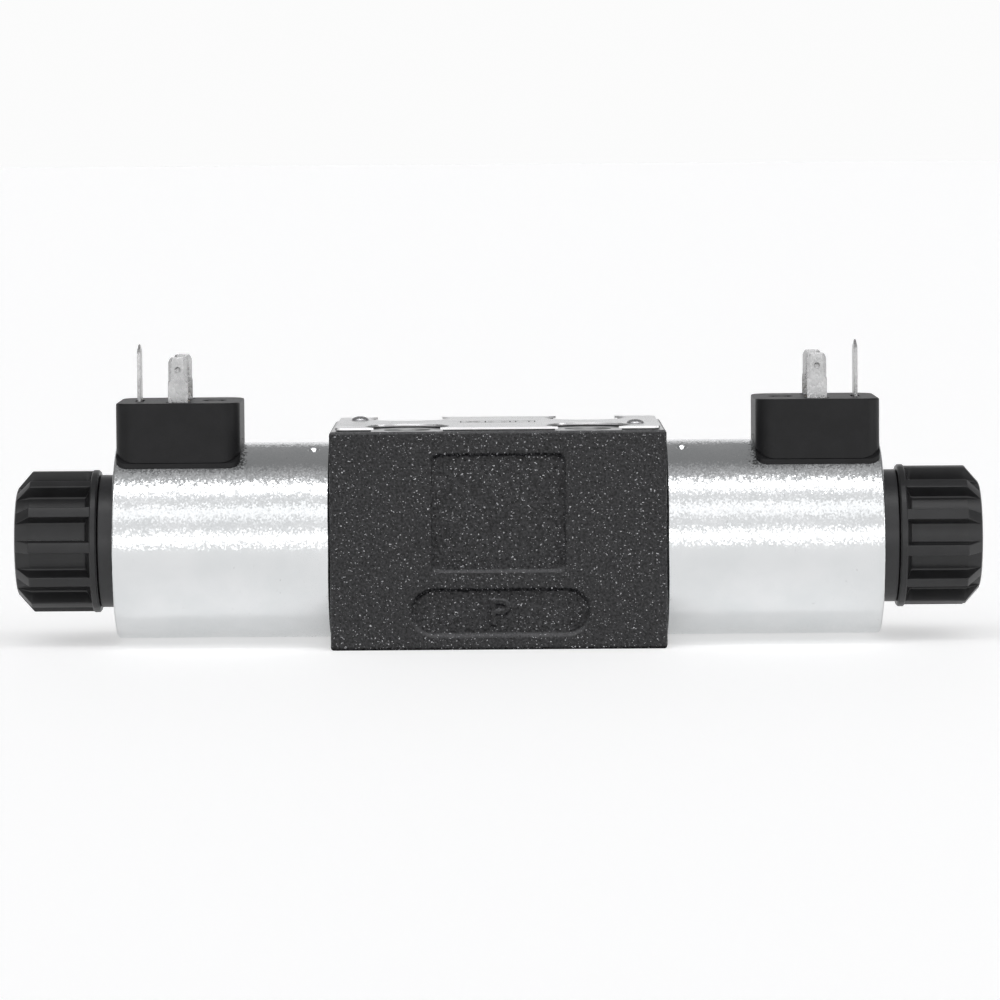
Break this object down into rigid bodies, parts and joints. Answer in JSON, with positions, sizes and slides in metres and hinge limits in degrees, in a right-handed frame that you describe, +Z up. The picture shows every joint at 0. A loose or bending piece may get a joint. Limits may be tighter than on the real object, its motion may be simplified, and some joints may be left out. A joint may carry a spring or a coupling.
{
  "type": "solenoid directional valve",
  "caption": "Spool valve with a black cast body on a subplate face, a solenoid with a plug base on each side and fluted coil nuts, which steers oil between four ports.",
  "frame": {"origin": "middle of the body's mounting face, which rests on the subplate", "axes": "+X along the spool towards solenoid a, +Y away from the port P side, +Z up out of the subplate"},
  "size_m": [0.2184, 0.046, 0.068],
  "materials": {
    "cast_black": "black painted casting, fine grain",
    "zinc_plate": "zinc plated, satin",
    "steel": "ground",
    "spring_steel": "drawn wire",
    "black_nylon": "moulded, fine texture",
    "nut_plastic": "moulded, satin",
    "bobbin_plastic": "moulded",
    "copper": "enamelled copper wire",
    "brass": "turned",
    "tinned": "tin plated, satin",
    "rubber": "nitrile, matt",
    "plate_metal": "rolled sheet, satin"
  },
  "bodies": {
    "valve": {"valve_body": "cast_black", "nameplate": "plate_metal", "nameplate_rivet_left": "plate_metal", "nameplate_rivet_right": "plate_metal", "port_seal_p": "rubber", "port_seal_t": "rubber", "port_seal_a": "rubber", "port_seal_b": "rubber", "armature_tube_a": "steel", "armature_tube_b": "steel", "tube_seal_a": "rubber", "tube_seal_b": "rubber", "centring_spring_a": "spring_steel", "centring_spring_b": "spring_steel", "override_seal_a": "rubber", "override_seal_b": "rubber"},
    "spool": {"spool": "steel", "spring_washer_a": "steel", "spring_washer_b": "steel"},
    "armature_a": {"armature_a": "steel", "push_pin_a": "steel"},
    "override_a": {"override_pin_a": "steel"},
    "coil_a": {"coil_housing_a": "zinc_plate", "coil_end_plate_a": "zinc_plate", "coil_bobbin_a": "bobbin_plastic", "coil_winding_a": "copper", "coil_seal_a": "rubber", "connector_base_a": "black_nylon", "terminal_1_a": "tinned", "terminal_2_a": "tinned", "earth_terminal_a": "tinned", "connector_insert_a": "brass"},
    "nut_travel_a": {"nut_seal_a": "rubber"},
    "nut_a": {"coil_nut_a": "nut_plastic"},
    "armature_b": {"armature_b": "steel", "push_pin_b": "steel"},
    "override_b": {"override_pin_b": "steel"},
    "coil_b": {"coil_housing_b": "zinc_plate", "coil_end_plate_b": "zinc_plate", "coil_bobbin_b": "bobbin_plastic", "coil_winding_b": "copper", "coil_seal_b": "rubber", "connector_base_b": "black_nylon", "terminal_1_b": "tinned", "terminal_2_b": "tinned", "earth_terminal_b": "tinned", "connector_insert_b": "brass"},
    "nut_travel_b": {"nut_seal_b": "rubber"},
    "nut_b": {"coil_nut_b": "nut_plastic"}
  },
  "joints": [
    {"name": "spool_shift", "type": "slide", "parent": "valve", "child": "spool", "axis": [1, 0, 0], "range_m": [-0.003, 0.003], "stiffness_N_per_m": 8000, "deforming": ["centring_spring_a", "centring_spring_b"]},
    {"name": "armature_a_slide", "type": "slide", "parent": "valve", "child": "armature_a", "axis": [1, 0, 0], "range_m": [-0.003, 0.003]},
    {"name": "override_a_press", "type": "slide", "parent": "valve", "child": "override_a", "axis": [-1, 0, 0], "range_m": [0, 0.0029]},
    {"name": "coil_a_turn", "type": "hinge", "parent": "valve", "child": "coil_a", "pos_m": [0.062, 0, 0.0233], "axis": [1, 0, 0], "continuous": true},
    {"name": "nut_a_travel", "type": "slide", "parent": "valve", "child": "nut_travel_a", "axis": [1, 0, 0], "range_m": [0, 0.009]},
    {"name": "nut_a_turn", "type": "hinge", "parent": "nut_travel_a", "child": "nut_a", "pos_m": [0.099, 0, 0.0233], "axis": [1, 0, 0], "range_deg": [0, 2160]},
    {"name": "armature_b_slide", "type": "slide", "parent": "valve", "child": "armature_b", "axis": [1, 0, 0], "range_m": [-0.003, 0.003]},
    {"name": "override_b_press", "type": "slide", "parent": "valve", "child": "override_b", "axis": [1, 0, 0], "range_m": [0, 0.0029]},
    {"name": "coil_b_turn", "type": "hinge", "parent": "valve", "child": "coil_b", "pos_m": [-0.062, 0, 0.0233], "axis": [-1, 0, 0], "continuous": true},
    {"name": "nut_b_travel", "type": "slide", "parent": "valve", "child": "nut_travel_b", "axis": [-1, 0, 0], "range_m": [0, 0.009]},
    {"name": "nut_b_turn", "type": "hinge", "parent": "nut_travel_b", "child": "nut_b", "pos_m": [-0.099, 0, 0.0233], "axis": [-1, 0, 0], "range_deg": [0, 2160]}
  ],
  "couplings": [
    {"joint": "armature_a_slide", "follows": "spool_shift", "ratio": 1},
    {"joint": "nut_a_turn", "follows": "nut_a_travel", "rad_per_m": 4188.8},
    {"joint": "armature_b_slide", "follows": "spool_shift", "ratio": 1},
    {"joint": "nut_b_turn", "follows": "nut_b_travel", "rad_per_m": 4188.8}
  ]
}
